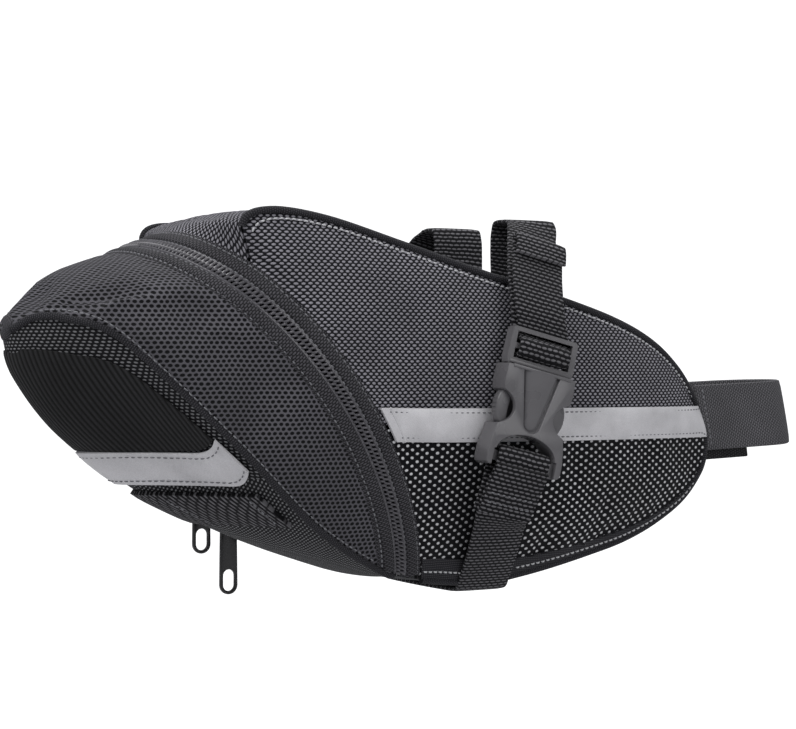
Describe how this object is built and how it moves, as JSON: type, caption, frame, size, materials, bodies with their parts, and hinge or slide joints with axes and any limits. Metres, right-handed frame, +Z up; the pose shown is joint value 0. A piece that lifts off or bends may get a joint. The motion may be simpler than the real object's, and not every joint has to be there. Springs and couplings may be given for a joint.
{
  "type": "bicycle saddle bag",
  "caption": "Wedge-shaped under-saddle bag with a zipped tail cap, reflective strips, buckled saddle-rail straps and a hook-and-loop seat post strap.",
  "frame": {"origin": "midway between the two strap seats, at the underside of the rail straps where they lie on the saddle rails", "axes": "+X towards the nose and the seat post, +Y the bicycle's left, +Z up"},
  "size_m": [0.2773, 0.1055, 0.1193],
  "materials": {
    "fabric": "matt, fine woven",
    "dotted_fabric": "matt, woven with light dots",
    "ribbed_fabric": "matt, ribbed",
    "lining_fabric": "matt, thin and coated",
    "reflective_tape": "retroreflective, satin",
    "zip_tape": "matt, woven",
    "zip_coil": "satin nylon",
    "webbing": "matt, ribbed webbing",
    "plastic": "satin moulded",
    "black_metal": "gloss black",
    "board": "matt"
  },
  "bodies": {
    "bag": {"belly_strap": "webbing", "bottom_gusset": "ribbed_fabric", "bottom_stiffener": "board", "buckle_socket_left": "plastic", "buckle_socket_right": "plastic", "edge_piping_left": "zip_tape", "edge_piping_right": "zip_tape", "front_zip_coil": "zip_coil", "front_zip_tape": "zip_tape", "lower_side_panel_left": "dotted_fabric", "lower_side_panel_right": "dotted_fabric", "main_lining": "lining_fabric", "nose_panel": "ribbed_fabric", "post_strap_tab": "webbing", "rail_strap_left": "webbing", "rail_strap_right": "webbing", "side_reflective_strip_left": "reflective_tape", "side_reflective_strip_right": "reflective_tape", "top_gusset": "fabric", "upper_side_panel_left": "fabric", "upper_side_panel_right": "fabric"},
    "zip_slider_upper_body": {"zip_slider_upper": "black_metal"},
    "zip_slider_lower_body": {"zip_slider_lower": "black_metal"},
    "zip_pull_upper_body": {"zip_pull_upper": "black_metal"},
    "zip_pull_lower_body": {"zip_pull_lower": "black_metal"},
    "tail_cap": {"tail_hood": "fabric", "tail_rear_panel": "dotted_fabric", "tail_bottom_panel": "ribbed_fabric", "tail_ribbed_panel": "ribbed_fabric", "tail_reflective_strip": "reflective_tape", "tail_light_loop": "webbing", "tail_lining": "lining_fabric", "tail_piping": "zip_tape", "rear_zip_tape": "zip_tape", "rear_zip_coil": "zip_coil"},
    "post_strap_body": {"post_strap": "webbing"},
    "plug_right": {"buckle_plug_right": "plastic"},
    "arm_rear_right": {"plug_arm_rear_right": "plastic"},
    "arm_front_right": {"plug_arm_front_right": "plastic"},
    "plug_left": {"buckle_plug_left": "plastic"},
    "arm_rear_left": {"plug_arm_rear_left": "plastic"},
    "arm_front_left": {"plug_arm_front_left": "plastic"}
  },
  "joints": [
    {"name": "tail_cap_open", "type": "hinge", "parent": "bag", "child": "tail_cap", "pos_m": [-0.047, 0, -0.1071], "axis": [0, -1, 0], "range_deg": [0, 65], "deforming": ["rear_zip_tape", "rear_zip_coil"]},
    {"name": "zip_slider_upper_travel", "type": "slide", "parent": "bag", "child": "zip_slider_upper_body", "axis": [-0.5878, 0.0436, 0.8078], "range_m": [0, 0.018], "deforming": ["front_zip_tape", "front_zip_coil", "rear_zip_tape", "rear_zip_coil"]},
    {"name": "zip_pull_upper_swing", "type": "hinge", "parent": "zip_slider_upper_body", "child": "zip_pull_upper_body", "pos_m": [-0.07487, 0.05019, -0.05241], "axis": [1, 0, 0], "range_deg": [0, 80]},
    {"name": "zip_slider_lower_travel", "type": "slide", "parent": "bag", "child": "zip_slider_lower_body", "axis": [-0.5162, 0.1623, 0.8409], "range_m": [-0.014, 0], "deforming": ["front_zip_tape", "front_zip_coil", "rear_zip_tape", "rear_zip_coil"]},
    {"name": "zip_pull_lower_swing", "type": "hinge", "parent": "zip_slider_lower_body", "child": "zip_pull_lower_body", "pos_m": [-0.06608, 0.04851, -0.06587], "axis": [1, 0, 0], "range_deg": [0, 80]},
    {"name": "plug_right_release", "type": "slide", "parent": "bag", "child": "plug_right", "axis": [0.2368, 0, 0.9715], "range_m": [0, 0.022], "deforming": ["rail_strap_right", "plug_arm_rear_right", "plug_arm_front_right"]},
    {"name": "arm_rear_right_squeeze", "type": "hinge", "parent": "plug_right", "child": "arm_rear_right", "pos_m": [-0.01991, -0.0471, -0.04295], "axis": [0, -1, 0], "range_deg": [0, 6], "stiffness_Nm_per_rad": 0.3},
    {"name": "arm_front_right_squeeze", "type": "hinge", "parent": "plug_right", "child": "arm_front_right", "pos_m": [-0.0032, -0.0471, -0.04702], "axis": [0, 1, 0], "range_deg": [0, 6], "stiffness_Nm_per_rad": 0.3},
    {"name": "plug_left_release", "type": "slide", "parent": "bag", "child": "plug_left", "axis": [0.2368, 0, 0.9715], "range_m": [0, 0.022], "deforming": ["rail_strap_left", "plug_arm_rear_left", "plug_arm_front_left"]},
    {"name": "arm_rear_left_squeeze", "type": "hinge", "parent": "plug_left", "child": "arm_rear_left", "pos_m": [-0.01991, 0.0471, -0.04295], "axis": [0, -1, 0], "range_deg": [0, 6], "stiffness_Nm_per_rad": 0.3},
    {"name": "arm_front_left_squeeze", "type": "hinge", "parent": "plug_left", "child": "arm_front_left", "pos_m": [-0.0032, 0.0471, -0.04702], "axis": [0, 1, 0], "range_deg": [0, 6], "stiffness_Nm_per_rad": 0.3},
    {"name": "post_strap_open", "type": "hinge", "parent": "bag", "child": "post_strap_body", "pos_m": [0.0724, 0.015, -0.0604], "axis": [-0.2079, 0, 0.9781], "range_deg": [0, 60], "deforming": ["post_strap_tab"]}
  ]
}
